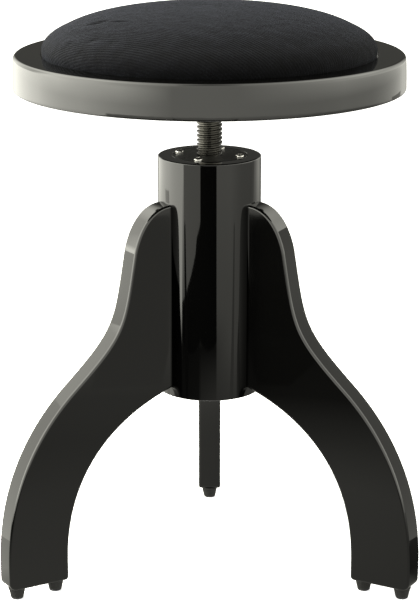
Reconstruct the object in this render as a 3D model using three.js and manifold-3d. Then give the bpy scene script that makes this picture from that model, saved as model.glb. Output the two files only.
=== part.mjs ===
// A round piano stool: a padded seat on a steel screw that winds up and down in a turned wooden hub,
// which stands on three curved plank legs. Turning the seat sets its height.
// Units are millimetres and +Z is up. The floor is z = 0, and the origin is the centre of the footprint.
// Inside the stool group the screw's axis is x = y = 0, and the rear leg points along +Y.

import * as THREE from "three";
import { mergeVertices } from "three/addons/utils/BufferGeometryUtils.js";
import Module from "manifold-3d";

const wasm = await Module();
wasm.setup();

// ---------------------------------------------------------------- driving dimensions

const GAP = 0.3; // left between two pieces that touch
const EPS = 1; // a cutting tool runs this far past the face that it opens
const ROUND = 36; // facets of the large turned pieces; the legs' angles are whole facets

// Seat: a turned disc with a shallow recess for the pad.
const SEAT_R = 175;
const SEAT_BOTTOM = 447.5;
const SEAT_TOP = 478;
const SEAT_EDGE_R = 4;
const RECESS_R = 150.4;
const RECESS_DEPTH = 8;

// Pad: a cloth cover over foam, on a plywood board that sits in the recess.
const PAD_R = 149.2;
const PAD_TOP = 520.4;
const DOME_RISE = 18; // the two handles of the dome's curve
const DOME_REACH = 118;
const DOME_STEPS = 7;
const COVER_T = 1.1;
const COVER_TURN_IN_R = 130; // the cover is folded under the board as far as this radius
const BOARD_T = 9;

// Seat plate: a steel flange under the seat that carries the screw.
const PLATE_R = 60;
const PLATE_T = 4;
const PLATE_BOSS_R = 17;
const PLATE_BOSS_H = 8;
const SHANK_R = 8;
const RIVET_R = 10.4;
const RIVET_H = 2.4;

// Lifting screw: a right-hand trapezoidal thread.
const PITCH = 4;
const THREAD_R = 11.5;
const THREAD_ROOT_R = 10;
const CREST_SHARE = 0.365; // the crest's and the root's widths as shares of the pitch
const FLANK_SHARE = 0.135;
const THREAD_FACETS = 12; // per turn
const NUT_GROOVE_R = 12.1;
const NUT_CREST_R = 10.5;
const NUT_SIDE_PLAY = 0.3;

// Travel of the seat from this height.
const TRAVEL_UP = 76;

// Hub: a turned column with a bore that guides the screw's lower end.
const HUB_R = 46.5;
const HUB_BOTTOM = 168;
const HUB_TOP = 386;
const BORE_R = 20;

// Nut flange: let into the hub's top, with the threaded boss below it.
const FLANGE_R = 34;
const FLANGE_T = 4;
const NUT_BOSS_R = 17;
const NUT_H = 40;
const FLANGE_SCREW_CIRCLE_R = 29;
const FLANGE_SCREW_ANGLE = 69.6;

// Guide collar: carried by the screw's lower end, which it stops at the top of its travel.
const COLLAR_R = 19.4;
const COLLAR_H = 12;
const JOURNAL_R = 6;
const STOP_CLEARANCE = 0.5;

// Legs: three planks, with the long edges rounded. Radii are from the screw's axis.
const LEG_T = 21.8;
const LEG_EDGE_R = 2;
const LEG_ANGLES = { rear: 90, left: 210, right: 330 };
const LEG_REACH = 211.2;
const LEG_HEEL = 152.9;
const LEG_BOTTOM = 11;
const LEG_ROOT = 44; // the outline starts inside the hub, and is then coped to its surface
const LEG_TOE_CORNER_R = 7;
const LEG_HEEL_CORNER_R = 3.5;
const DOWEL_R = 5;
const DOWEL_LENGTH = 42;
const DOWEL_INNER_R = 30;
const DOWEL_HEIGHTS = { upper: 306, lower: 222 };

// Feet: two rubber studs under each leg.
const FOOT_RADII = { inner: 161.8, outer: 199.9 };
const FOOT_TOP_R = 7.5;
const FOOT_FLARE_R = 8;
const FOOT_BOTTOM_R = 5.5;
const FOOT_BOTTOM_EDGE_R = 0.8;
const FOOT_FLARE_H = 1.6;
const FOOT_FACETS = 12;

// Wood and machine screws: head radius, head height, shank radius and length under the head.
const FLANGE_SCREW = { headR: 3.6, headH: 2.2, shankR: 1.9, length: 24 };
const PLATE_SCREW = { headR: 4.2, headH: 2.3, shankR: 2.1, length: 19 };
const BOARD_SCREW = { headR: 4.2, headH: 2.3, shankR: 2.1, length: 22 };
const FOOT_SCREW = { headR: 3, headH: 1.8, shankR: 1.5, length: 20 };
const END_SCREW = { headR: 5, headH: 3.2, shankR: 2.5, length: 20 };
const SCREW_FACETS = 8;
const HOLE_PLAY = 0.4; // on the radius, between a screw and its hole
const HOLE_END_PLAY = 1; // between a screw's tip and the end of its hole
const PLATE_SCREW_CIRCLE_R = 45;
const BOARD_SCREW_CIRCLE_R = 110;
const BOARD_SCREW_SEAT = 454; // the heads of the board's screws lie this high, in counterbores
const FOOT_SCREW_SEAT = 4;
const WASHER = { r: 10, t: 2 };

// ---------------------------------------------------------------- heights worked out from them

const RECESS_FLOOR = SEAT_TOP - RECESS_DEPTH;
const BOARD_BOTTOM = RECESS_FLOOR + 2 * GAP + COVER_T;
const BOARD_TOP = BOARD_BOTTOM + BOARD_T;
const BOARD_R = PAD_R - COVER_T - 0.5;
const PAD_SIDE_TOP = BOARD_TOP + GAP; // the pad's side stands straight up to here, then the dome begins
const PLATE_TOP = SEAT_BOTTOM - GAP;
const PLATE_UNDER = PLATE_TOP - PLATE_T;
const BOSS_UNDER = PLATE_UNDER - PLATE_BOSS_H;
const THREAD_TOP = BOSS_UNDER - GAP;
const FLANGE_UNDER = HUB_TOP - FLANGE_T;
const NUT_UNDER = HUB_TOP - NUT_H;
const COLLAR_TOP = NUT_UNDER - TRAVEL_UP - STOP_CLEARANCE;
const COLLAR_UNDER = COLLAR_TOP - COLLAR_H;
const THREAD_BOTTOM = COLLAR_TOP + GAP;
const SPINDLE_END = COLLAR_UNDER - GAP;
const WASHER_TOP = SPINDLE_END - GAP;
const WASHER_UNDER = WASHER_TOP - WASHER.t;
const AXIS_Y = (SEAT_R - LEG_REACH) / 2; // puts the footprint's centre on the origin

// ---------------------------------------------------------------- materials

const lacquer = new THREE.MeshStandardMaterial({ color: 0x0b0b0b, roughness: 0.12 });
const cloth = new THREE.MeshStandardMaterial({ color: 0x1b1b1c, roughness: 0.95 });
const foam = new THREE.MeshStandardMaterial({ color: 0xd9cfae, roughness: 0.9 });
const plywood = new THREE.MeshStandardMaterial({ color: 0xc3a06d, roughness: 0.7 });
const steel = new THREE.MeshStandardMaterial({ color: 0x3c3b38, roughness: 0.3, metalness: 1 });
const zinc = new THREE.MeshStandardMaterial({ color: 0xc8cacc, roughness: 0.3, metalness: 1 });
const blackIron = new THREE.MeshStandardMaterial({ color: 0x17181a, roughness: 0.4, metalness: 0.6 });
const nylon = new THREE.MeshStandardMaterial({ color: 0x101010, roughness: 0.5 });
const beech = new THREE.MeshStandardMaterial({ color: 0xcaa472, roughness: 0.7 });
const rubber = new THREE.MeshStandardMaterial({ color: 0x0c0c0c, roughness: 0.8 });

// ---------------------------------------------------------------- solids

// A closed geometry as a manifold solid, without the slivers that a lathe makes on its axis.
function solid(geometry) {
  const bare = geometry.index ? geometry.toNonIndexed() : geometry.clone();
  bare.deleteAttribute("normal");
  bare.deleteAttribute("uv");
  const merged = mergeVertices(bare, 1e-3);
  const index = merged.index.array;
  const kept = [];
  for (let i = 0; i < index.length; i += 3) {
    const [a, b, c] = [index[i], index[i + 1], index[i + 2]];
    if (a !== b && b !== c && c !== a) kept.push(a, b, c);
  }
  return new wasm.Manifold(
    new wasm.Mesh({
      numProp: 3,
      vertProperties: merged.attributes.position.array,
      triVerts: new Uint32Array(kept),
    }),
  );
}

// A manifold solid as a flat-shaded geometry.
function geometryOf(made) {
  const mesh = made.getMesh();
  const indexed = new THREE.BufferGeometry();
  indexed.setAttribute("position", new THREE.BufferAttribute(mesh.vertProperties, 3));
  indexed.setIndex(new THREE.BufferAttribute(mesh.triVerts, 1));
  const flat = indexed.toNonIndexed();
  flat.computeVertexNormals();
  return flat;
}

// Turns a path of radius and height round the Z axis. The path runs upwards on its outside.
function turned(path, facets = ROUND, curvePoints = 4) {
  const points = path.getPoints ? path.getPoints(curvePoints) : path.map(([r, z]) => new THREE.Vector2(r, z));
  return solid(new THREE.LatheGeometry(points, facets).rotateX(Math.PI / 2));
}

// A plain cylinder about the Z axis, from one height to another.
function rod(radius, bottom, top, facets = ROUND) {
  return turned([[0, bottom], [radius, bottom], [radius, top], [0, top]], facets);
}

// A copy of a solid, moved out along X and then turned about the Z axis.
function onCircle(made, radius, degrees) {
  return made.translate([radius, 0, 0]).rotate([0, 0, degrees]);
}

function cutAll(made, tools) {
  return tools.reduce((left, tool) => left.subtract(tool), made);
}

function quarterTurns(first) {
  return [0, 1, 2, 3].map((i) => first + 90 * i);
}

// ---------------------------------------------------------------- screws

// A pan-head screw that points down: the head stands on z = 0, and the tip is below.
function screw({ headR, headH, shankR, length }) {
  return turned(
    [
      [0, -length],
      [shankR, 2 * shankR - length],
      [shankR, 0],
      [headR, 0],
      [headR, headH * 0.4],
      [headR * 0.7, headH],
      [0, headH],
    ],
    SCREW_FACETS,
  );
}

// The hole for such a screw's shank, open at z = 0 and above.
function screwHole({ shankR, length }) {
  return rod(shankR + HOLE_PLAY, -length - HOLE_END_PLAY, EPS, SCREW_FACETS);
}

// ---------------------------------------------------------------- thread

// A threaded rod about the Z axis. Each facet's edge is a column of points that climbs one share of
// a pitch from the column before it, so the last column meets the first one a whole pitch higher.
function threadedRod(crestR, rootR, sidePlay, bottom, top) {
  const play = sidePlay / PITCH;
  const profile = [
    [rootR, 0],
    [crestR, FLANK_SHARE - play],
    [crestR, FLANK_SHARE + CREST_SHARE + play],
    [rootR, 2 * FLANK_SHARE + CREST_SHARE],
  ];
  if (play) {
    profile[0][1] -= play;
    profile[3][1] += play;
  }
  const first = Math.floor(bottom / PITCH) - 2;
  const turns = Math.ceil((top - bottom) / PITCH) + 4;
  const perColumn = 4 * turns;
  const position = [];
  for (let k = 0; k < THREAD_FACETS; k++) {
    const angle = (2 * Math.PI * k) / THREAD_FACETS;
    for (let j = 0; j < perColumn; j++) {
      const [r, share] = profile[j % 4];
      const z = PITCH * (first + Math.floor(j / 4) + share + k / THREAD_FACETS);
      position.push(r * Math.cos(angle), r * Math.sin(angle), z);
    }
  }
  const low = position.length / 3;
  position.push(0, 0, PITCH * (first - 1), 0, 0, PITCH * (first + turns + 2));
  const high = low + 1;
  const at = (k, j) => (k < THREAD_FACETS ? k * perColumn + j : j + 4);
  const index = [];
  for (let k = 0; k < THREAD_FACETS; k++) {
    const last = perColumn - (k === THREAD_FACETS - 1 ? 5 : 1);
    for (let j = 0; j < last; j++) {
      index.push(at(k, j), at(k + 1, j), at(k + 1, j + 1), at(k, j), at(k + 1, j + 1), at(k, j + 1));
    }
    index.push(low, at(k + 1, 0), at(k, 0), high, at(k, last), at(k + 1, last));
  }
  // The step of one pitch where the last column meets the first, at each end.
  for (let j = 0; j < 4; j++) {
    index.push(low, j, j + 1);
    const end = perColumn - 5 + j;
    index.push(high, (THREAD_FACETS - 1) * perColumn + end + 1, (THREAD_FACETS - 1) * perColumn + end);
  }
  const geometry = new THREE.BufferGeometry();
  geometry.setAttribute("position", new THREE.Float32BufferAttribute(position, 3));
  geometry.setIndex(index);
  return solid(geometry).intersect(rod(crestR + EPS, bottom, top, THREAD_FACETS));
}

// ---------------------------------------------------------------- seat

function seatDisc() {
  const edge = SEAT_EDGE_R;
  const outline = new THREE.Path();
  outline.moveTo(0, SEAT_BOTTOM);
  outline.lineTo(SEAT_R - edge, SEAT_BOTTOM);
  outline.absarc(SEAT_R - edge, SEAT_BOTTOM + edge, edge, -Math.PI / 2, 0);
  outline.lineTo(SEAT_R, SEAT_TOP - edge);
  outline.absarc(SEAT_R - edge, SEAT_TOP - edge, edge, 0, Math.PI / 2);
  outline.lineTo(RECESS_R, SEAT_TOP);
  outline.lineTo(RECESS_R, RECESS_FLOOR);
  outline.lineTo(0, RECESS_FLOOR);
  const plateHole = screwHole(PLATE_SCREW).mirror([0, 0, 1]).translate([0, 0, PLATE_UNDER]);
  const boardHole = screwHole(BOARD_SCREW).mirror([0, 0, 1]).translate([0, 0, BOARD_SCREW_SEAT]);
  const counterbore = rod(BOARD_SCREW.headR + HOLE_PLAY, SEAT_BOTTOM - EPS, BOARD_SCREW_SEAT, SCREW_FACETS);
  return cutAll(turned(outline, ROUND, 1), [
    ...quarterTurns(0).map((a) => onCircle(plateHole, PLATE_SCREW_CIRCLE_R, a)),
    ...quarterTurns(45).map((a) => onCircle(boardHole.add(counterbore), BOARD_SCREW_CIRCLE_R, a)),
  ]);
}

// The dome's outline from its side to its top, set in from the pad's outer surface.
function domeCurve(path, inset) {
  const r = PAD_R - inset;
  const top = PAD_TOP - inset;
  path.bezierCurveTo(r, PAD_SIDE_TOP + DOME_RISE, DOME_REACH, top, 0, top);
}

// The outer skin, closed over the top and folded under the board.
function cushionCover() {
  const under = RECESS_FLOOR + GAP;
  const outside = new THREE.Path();
  outside.moveTo(COVER_TURN_IN_R, under);
  outside.lineTo(PAD_R - 1, under);
  outside.lineTo(PAD_R, under + 1);
  outside.lineTo(PAD_R, PAD_SIDE_TOP);
  domeCurve(outside, 0);
  const inside = new THREE.Path();
  inside.moveTo(COVER_TURN_IN_R, under + COVER_T);
  inside.lineTo(PAD_R - COVER_T, under + COVER_T);
  inside.lineTo(PAD_R - COVER_T, PAD_SIDE_TOP);
  domeCurve(inside, COVER_T);
  const profile = [...outside.getPoints(DOME_STEPS), ...inside.getPoints(DOME_STEPS).reverse()];
  profile.push(profile[0].clone());
  return turned({ getPoints: () => profile });
}

function cushionFoam() {
  const inset = COVER_T + GAP;
  const outline = new THREE.Path();
  outline.moveTo(0, PAD_SIDE_TOP);
  outline.lineTo(PAD_R - inset, PAD_SIDE_TOP);
  domeCurve(outline, inset);
  return turned(outline, ROUND, DOME_STEPS);
}

function cushionBoard() {
  const hole = screwHole(BOARD_SCREW).mirror([0, 0, 1]).translate([0, 0, BOARD_SCREW_SEAT]);
  return cutAll(
    rod(BOARD_R, BOARD_BOTTOM, BOARD_TOP),
    quarterTurns(45).map((a) => onCircle(hole, BOARD_SCREW_CIRCLE_R, a)),
  );
}

// ---------------------------------------------------------------- lifting screw

function seatPlate() {
  const body = turned([
    [0, BOSS_UNDER],
    [PLATE_BOSS_R, BOSS_UNDER],
    [PLATE_BOSS_R, PLATE_UNDER],
    [PLATE_R - 1, PLATE_UNDER],
    [PLATE_R, PLATE_UNDER + 1],
    [PLATE_R, PLATE_TOP],
    [0, PLATE_TOP],
  ]);
  const bore = turned(
    [
      [0, BOSS_UNDER - EPS],
      [SHANK_R + GAP, BOSS_UNDER - EPS],
      [SHANK_R + GAP, PLATE_TOP - RIVET_H - GAP],
      [RIVET_R + GAP, PLATE_TOP],
      [RIVET_R + GAP, PLATE_TOP + EPS],
      [0, PLATE_TOP + EPS],
    ],
    THREAD_FACETS,
  );
  const hole = rod(PLATE_SCREW.shankR + HOLE_PLAY, PLATE_UNDER - EPS, PLATE_TOP + EPS, SCREW_FACETS);
  return cutAll(body, [bore, ...quarterTurns(0).map((a) => onCircle(hole, PLATE_SCREW_CIRCLE_R, a))]);
}

// The shank is riveted over in the plate's countersink, and the journal below carries the collar.
function spindle() {
  const shank = turned(
    [
      [0, THREAD_TOP - EPS],
      [SHANK_R, THREAD_TOP - EPS],
      [SHANK_R, PLATE_TOP - RIVET_H],
      [RIVET_R, PLATE_TOP],
      [0, PLATE_TOP],
    ],
    THREAD_FACETS,
  );
  const journal = rod(JOURNAL_R, SPINDLE_END, THREAD_BOTTOM + EPS, THREAD_FACETS);
  const tap = screwHole(END_SCREW).mirror([0, 0, 1]).translate([0, 0, WASHER_UNDER]);
  return threadedRod(THREAD_R, THREAD_ROOT_R, 0, THREAD_BOTTOM, THREAD_TOP).add(shank).add(journal).subtract(tap);
}

function nutFlange() {
  const body = turned([
    [0, NUT_UNDER],
    [NUT_BOSS_R, NUT_UNDER],
    [NUT_BOSS_R, FLANGE_UNDER],
    [FLANGE_R, FLANGE_UNDER],
    [FLANGE_R, HUB_TOP],
    [0, HUB_TOP],
  ]);
  const thread = threadedRod(NUT_GROOVE_R, NUT_CREST_R, NUT_SIDE_PLAY, NUT_UNDER - EPS, HUB_TOP + EPS);
  const hole = rod(FLANGE_SCREW.shankR + HOLE_PLAY, FLANGE_UNDER - EPS, HUB_TOP + EPS, SCREW_FACETS);
  const holes = quarterTurns(FLANGE_SCREW_ANGLE).map((a) => onCircle(hole, FLANGE_SCREW_CIRCLE_R, a));
  return cutAll(body, [thread, ...holes]);
}

function guideCollar() {
  const body = turned([
    [0, COLLAR_UNDER],
    [COLLAR_R - 1, COLLAR_UNDER],
    [COLLAR_R, COLLAR_UNDER + 1],
    [COLLAR_R, COLLAR_TOP - 1],
    [COLLAR_R - 1, COLLAR_TOP],
    [0, COLLAR_TOP],
  ]);
  // The journal turns in this hole, so its flats stay clear of the journal's corners.
  const hole = rod(JOURNAL_R + 2 * GAP, COLLAR_UNDER - EPS, COLLAR_TOP + EPS, THREAD_FACETS);
  return body.subtract(hole);
}

function endWasher() {
  const hole = rod(END_SCREW.shankR + HOLE_PLAY, WASHER_UNDER - EPS, WASHER_TOP + EPS, SCREW_FACETS);
  return rod(WASHER.r, WASHER_UNDER, WASHER_TOP, 2 * THREAD_FACETS).subtract(hole);
}

// ---------------------------------------------------------------- hub and legs

// A tool along X, from one radius outwards to another, at a height.
function radialRod(radius, from, to, z, facets = 12) {
  return rod(radius, from, to, facets).rotate([0, 90, 0]).translate([0, 0, z]);
}

function dowel(z) {
  return radialRod(DOWEL_R, DOWEL_INNER_R, DOWEL_INNER_R + DOWEL_LENGTH, z);
}

function dowelHole(z) {
  const inner = DOWEL_INNER_R - HOLE_END_PLAY;
  return radialRod(DOWEL_R + GAP, inner, DOWEL_INNER_R + DOWEL_LENGTH + HOLE_END_PLAY, z);
}

function hub() {
  const tools = [
    rod(BORE_R, HUB_BOTTOM - EPS, HUB_TOP + EPS),
    rod(FLANGE_R + GAP, FLANGE_UNDER - GAP, HUB_TOP + EPS),
  ];
  const pilot = screwHole(FLANGE_SCREW).translate([0, 0, HUB_TOP + GAP]);
  for (const angle of quarterTurns(FLANGE_SCREW_ANGLE)) {
    tools.push(onCircle(pilot, FLANGE_SCREW_CIRCLE_R, angle));
  }
  for (const angle of Object.values(LEG_ANGLES)) {
    for (const z of Object.values(DOWEL_HEIGHTS)) tools.push(onCircle(dowelHole(z), 0, angle));
  }
  return cutAll(rod(HUB_R, HUB_BOTTOM, HUB_TOP), tools);
}

// The plank's outline, as radius and height: down its outside, round the foot, and up the arch.
function legOutline() {
  const outline = new THREE.Shape();
  outline.moveTo(LEG_ROOT, 346.2);
  outline.bezierCurveTo(73.6, 346.2, 81.5, 310.1, 82.4, 305.2); // the shoulder
  outline.bezierCurveTo(93.9, 239.7, 91.6, 235.5, 143.5, 188.8); // the neck, hollow outside
  outline.bezierCurveTo(218, 121.9, LEG_REACH, 40.6, LEG_REACH, LEG_BOTTOM + LEG_TOE_CORNER_R); // the knee
  outline.absarc(
    LEG_REACH - LEG_TOE_CORNER_R,
    LEG_BOTTOM + LEG_TOE_CORNER_R,
    LEG_TOE_CORNER_R,
    0,
    -Math.PI / 2,
    true,
  );
  outline.lineTo(LEG_HEEL + LEG_HEEL_CORNER_R, LEG_BOTTOM);
  outline.absarc(
    LEG_HEEL + LEG_HEEL_CORNER_R,
    LEG_BOTTOM + LEG_HEEL_CORNER_R,
    LEG_HEEL_CORNER_R,
    -Math.PI / 2,
    -Math.PI,
    true,
  );
  outline.lineTo(LEG_HEEL, 31.1);
  outline.bezierCurveTo(LEG_HEEL, 147, 53.2, 172.4, LEG_ROOT, 177.1); // the arch
  return outline;
}

function leg() {
  const plank = new THREE.ExtrudeGeometry(legOutline(), {
    depth: LEG_T - 2 * LEG_EDGE_R,
    curveSegments: 7,
    bevelEnabled: true,
    bevelThickness: LEG_EDGE_R,
    bevelSize: LEG_EDGE_R,
    bevelOffset: -LEG_EDGE_R,
    bevelSegments: 1,
  });
  plank.translate(0, 0, LEG_EDGE_R - LEG_T / 2).rotateX(Math.PI / 2);
  const cope = rod(HUB_R + GAP, HUB_BOTTOM - EPS, HUB_TOP + EPS);
  const pilot = screwHole(FOOT_SCREW).mirror([0, 0, 1]).translate([0, 0, FOOT_SCREW_SEAT]);
  return cutAll(solid(plank), [
    cope,
    ...Object.values(DOWEL_HEIGHTS).map(dowelHole),
    ...Object.values(FOOT_RADII).map((r) => onCircle(pilot, r, 0)),
  ]);
}

function foot() {
  const top = LEG_BOTTOM - GAP;
  const hole = FOOT_SCREW.shankR + HOLE_PLAY;
  const counterbore = FOOT_SCREW.headR + HOLE_PLAY;
  return turned(
    [
      [counterbore, 0],
      [FOOT_BOTTOM_R - FOOT_BOTTOM_EDGE_R, 0],
      [FOOT_BOTTOM_R, FOOT_BOTTOM_EDGE_R],
      [FOOT_TOP_R, top - FOOT_FLARE_H],
      [FOOT_FLARE_R, top - FOOT_FLARE_H / 2],
      [FOOT_FLARE_R, top],
      [hole, top],
      [hole, FOOT_SCREW_SEAT],
      [counterbore, FOOT_SCREW_SEAT],
      [counterbore, 0],
    ],
    FOOT_FACETS,
  );
}

// ---------------------------------------------------------------- the stool

const stool = new THREE.Group();
stool.position.set(0, AXIS_Y, 0);

function place(name, made, material, parent = stool) {
  const mesh = new THREE.Mesh(geometryOf(made), material);
  mesh.name = name;
  parent.add(mesh);
  return mesh;
}

// Four screws of one kind on a circle, numbered anticlockwise from above.
function placeFour(name, made, material, radius, firstAngle) {
  quarterTurns(firstAngle).forEach((angle, i) => {
    place(`${name}_${i + 1}`, onCircle(made, radius, angle), material);
  });
}

place("cushion_cover", cushionCover(), cloth);
place("cushion_foam", cushionFoam(), foam);
place("cushion_board", cushionBoard(), plywood);
place("seat_disc", seatDisc(), lacquer);
place("seat_plate", seatPlate(), blackIron);
place("spindle", spindle(), steel);
place("nut_flange", nutFlange(), blackIron);
place("guide_collar", guideCollar(), nylon);
place("end_washer", endWasher(), zinc);
place("hub", hub(), lacquer);

const upward = (kind, z) => screw(kind).mirror([0, 0, 1]).translate([0, 0, z - GAP]);
placeFour("board_screw", upward(BOARD_SCREW, BOARD_SCREW_SEAT), zinc, BOARD_SCREW_CIRCLE_R, 45);
placeFour("plate_screw", upward(PLATE_SCREW, PLATE_UNDER), zinc, PLATE_SCREW_CIRCLE_R, 0);
place("end_screw", upward(END_SCREW, WASHER_UNDER), zinc);
const flangeScrew = screw(FLANGE_SCREW).translate([0, 0, HUB_TOP + GAP]);
placeFour("flange_screw", flangeScrew, zinc, FLANGE_SCREW_CIRCLE_R, FLANGE_SCREW_ANGLE);

for (const [side, angle] of Object.entries(LEG_ANGLES)) {
  const limb = new THREE.Group();
  limb.rotation.z = THREE.MathUtils.degToRad(angle);
  stool.add(limb);
  place(`leg_${side}`, leg(), lacquer, limb);
  for (const [level, z] of Object.entries(DOWEL_HEIGHTS)) {
    place(`dowel_${side}_${level}`, dowel(z), beech, limb);
  }
  for (const [spot, radius] of Object.entries(FOOT_RADII)) {
    place(`foot_${side}_${spot}`, foot(), rubber, limb).position.x = radius;
    place(`foot_screw_${side}_${spot}`, upward(FOOT_SCREW, FOOT_SCREW_SEAT), zinc, limb).position.x = radius;
  }
}

const piece = new THREE.Group();
piece.add(stool);

export default piece;
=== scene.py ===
import math
import random

import bmesh
import bpy
import numpy as np
from mathutils import Matrix, Vector


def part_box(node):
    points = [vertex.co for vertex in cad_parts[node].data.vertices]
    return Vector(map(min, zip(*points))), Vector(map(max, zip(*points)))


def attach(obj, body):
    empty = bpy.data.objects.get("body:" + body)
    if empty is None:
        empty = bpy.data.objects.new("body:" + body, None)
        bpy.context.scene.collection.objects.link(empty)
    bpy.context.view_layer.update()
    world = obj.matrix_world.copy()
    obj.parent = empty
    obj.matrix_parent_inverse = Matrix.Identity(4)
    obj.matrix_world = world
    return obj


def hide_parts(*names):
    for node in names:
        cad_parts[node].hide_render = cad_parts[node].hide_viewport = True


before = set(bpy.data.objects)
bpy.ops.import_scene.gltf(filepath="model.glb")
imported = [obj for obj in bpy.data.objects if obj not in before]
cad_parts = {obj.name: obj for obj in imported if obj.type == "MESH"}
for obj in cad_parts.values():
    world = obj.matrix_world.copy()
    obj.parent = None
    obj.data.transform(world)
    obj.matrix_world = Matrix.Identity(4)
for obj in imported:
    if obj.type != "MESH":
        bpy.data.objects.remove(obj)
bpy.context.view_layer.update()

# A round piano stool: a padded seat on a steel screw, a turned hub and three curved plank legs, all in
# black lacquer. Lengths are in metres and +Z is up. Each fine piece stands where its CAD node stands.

MM = 0.001
random.seed(12)


# ---------------- places, from the frame

def middle_of(node):
    """The middle of a node's box."""
    low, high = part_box(node)
    return (low + high) / 2


def radius_of(node):
    """Half the width of a round node."""
    low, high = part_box(node)
    return (high.x - low.x) / 2


seat_low, seat_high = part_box("seat_disc")
pad_low, pad_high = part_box("cushion_cover")
board_low, board_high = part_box("cushion_board")
plate_low, plate_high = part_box("seat_plate")
spindle_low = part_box("spindle")[0]
nut_low, nut_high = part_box("nut_flange")
collar_low, collar_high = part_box("guide_collar")
washer_low, washer_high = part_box("end_washer")
hub_low, hub_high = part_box("hub")
leg_low, leg_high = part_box("leg_rear")
foot_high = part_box("foot_rear_outer")[1]
AXIS = Vector((middle_of("hub").x, middle_of("hub").y, 0))
GAP = 0.3 * MM  # between two pieces that touch
SCREW_PLAY = 0.4 * MM  # round a screw in its hole
FLANGE_T = 4 * MM  # of the two iron plates
BOSS_R = 17 * MM  # of the two plates' bosses
NUMBERS = range(1, 5)  # of the screws that hold one plate or board
LEG_ANGLES = {"rear": 90, "left": 210, "right": 330}
SPOTS = ("inner", "outer")


# ---------------- camera

CAMERA_BACK = 1.8939  # in front of the screw's axis
CAMERA_HEIGHT = 0.7625
CAMERA_PITCH = 15.13  # degrees below the horizon
LENS = 128.6

camera_data = bpy.data.cameras.new("camera")
camera_data.lens = LENS
camera_data.clip_end = 60
camera = bpy.data.objects.new("camera", camera_data)
camera.location = (AXIS.x, AXIS.y - CAMERA_BACK, CAMERA_HEIGHT)
camera.rotation_euler = (math.radians(90 - CAMERA_PITCH), 0, 0)
bpy.context.scene.collection.objects.link(camera)
bpy.context.scene.camera = camera
bpy.context.scene.view_settings.view_transform = "Standard"


# ---------------- outlines

def rounded(corners, closed=False, steps=5):
    """The outline through (radius, height, fillet) corners, each corner turned by its fillet."""
    points = []
    for i, (r, z, fillet) in enumerate(corners):
        here = Vector((r, z))
        at_end = not closed and i in (0, len(corners) - 1)
        if fillet == 0 or at_end:
            points.append(here)
            continue
        back = (Vector(corners[i - 1][:2]) - here).normalized()
        ahead = (Vector(corners[(i + 1) % len(corners)][:2]) - here).normalized()
        half = back.angle(ahead) / 2
        centre = here + (back + ahead).normalized() * fillet / math.sin(half)
        start = here + back * fillet / math.tan(half) - centre
        end = here + ahead * fillet / math.tan(half) - centre
        sweep = math.pi - 2 * half
        for k in range(steps + 1):
            from_start = math.sin((1 - k / steps) * sweep) / math.sin(sweep)
            from_end = math.sin(k / steps * sweep) / math.sin(sweep)
            points.append(centre + start * from_start + end * from_end)
    return points


def bezier(a, b, c, d, steps):
    """Points along a cubic curve, without its last one."""
    a, b, c, d = Vector(a), Vector(b), Vector(c), Vector(d)
    points = []
    for k in range(steps):
        t = k / steps
        points.append(a * (1 - t) ** 3 + b * 3 * t * (1 - t) ** 2 + c * 3 * t * t * (1 - t) + d * t ** 3)
    return points


# ---------------- meshes

def new_object(name, bm):
    """An object in the scene from a bmesh, which it frees."""
    bmesh.ops.recalc_face_normals(bm, faces=bm.faces)
    mesh = bpy.data.meshes.new(name)
    bm.to_mesh(mesh)
    bm.free()
    made = bpy.data.objects.new(name, mesh)
    bpy.context.scene.collection.objects.link(made)
    return made


def turned(name, outline, steps=96, closed=False, at=AXIS):
    """A solid turned about a vertical axis. An open outline starts and ends on the axis."""
    bm = bmesh.new()
    turns = [2 * math.pi * k / steps for k in range(steps)]
    rings = []
    for r, z in outline:
        if r < 1e-7:
            rings.append([bm.verts.new((at.x, at.y, z))])
        else:
            rings.append([bm.verts.new((at.x + r * math.cos(a), at.y + r * math.sin(a), z)) for a in turns])
    pairs = list(zip(rings, rings[1:]))
    if closed:
        pairs.append((rings[-1], rings[0]))
    for low, high in pairs:
        for k in range(steps):
            n = (k + 1) % steps
            corners = [low[k % len(low)], low[n % len(low)], high[n % len(high)], high[k % len(high)]]
            bm.faces.new(dict.fromkeys(corners))
    return new_object(name, bm)


def rod(name, radius, low, high, steps=32, at=AXIS):
    """A plain cylinder, used as a cutting tool."""
    outline = [Vector((0, low)), Vector((radius, low)), Vector((radius, high)), Vector((0, high))]
    return turned(name, outline, steps, at=at)


def apply_modifiers(obj):
    """Makes what the modifiers show into the object's own mesh."""
    graph = bpy.context.evaluated_depsgraph_get()
    baked = bpy.data.meshes.new_from_object(obj.evaluated_get(graph))
    obj.modifiers.clear()
    obj.data = baked
    return obj


def cut(obj, *tools):
    """Takes the tools' shapes out of obj, and deletes the tools."""
    for tool in tools:
        modifier = obj.modifiers.new("cut", "BOOLEAN")
        modifier.object = tool
        modifier.solver = "EXACT"
    apply_modifiers(obj)
    for tool in tools:
        bpy.data.objects.remove(tool)


def smooth(obj, angle=32):
    """Smooth shading up to an angle, with the large flat faces kept flat."""
    obj.data.polygons.foreach_set("use_smooth", [True] * len(obj.data.polygons))
    obj.data.set_sharp_from_angle(angle=math.radians(angle))
    weighted = obj.modifiers.new("flat faces stay flat", "WEIGHTED_NORMAL")
    weighted.keep_sharp = True
    return obj


def settle(obj, body, slot, look, *nodes):
    """Gives a finished piece its look and body, and hides the CAD nodes that it stands for. Its slot is not
    used.
    """
    obj.data.materials.clear()
    obj.data.materials.append(look)
    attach(obj, body)
    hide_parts(*nodes)


# ---------------- materials

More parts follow.
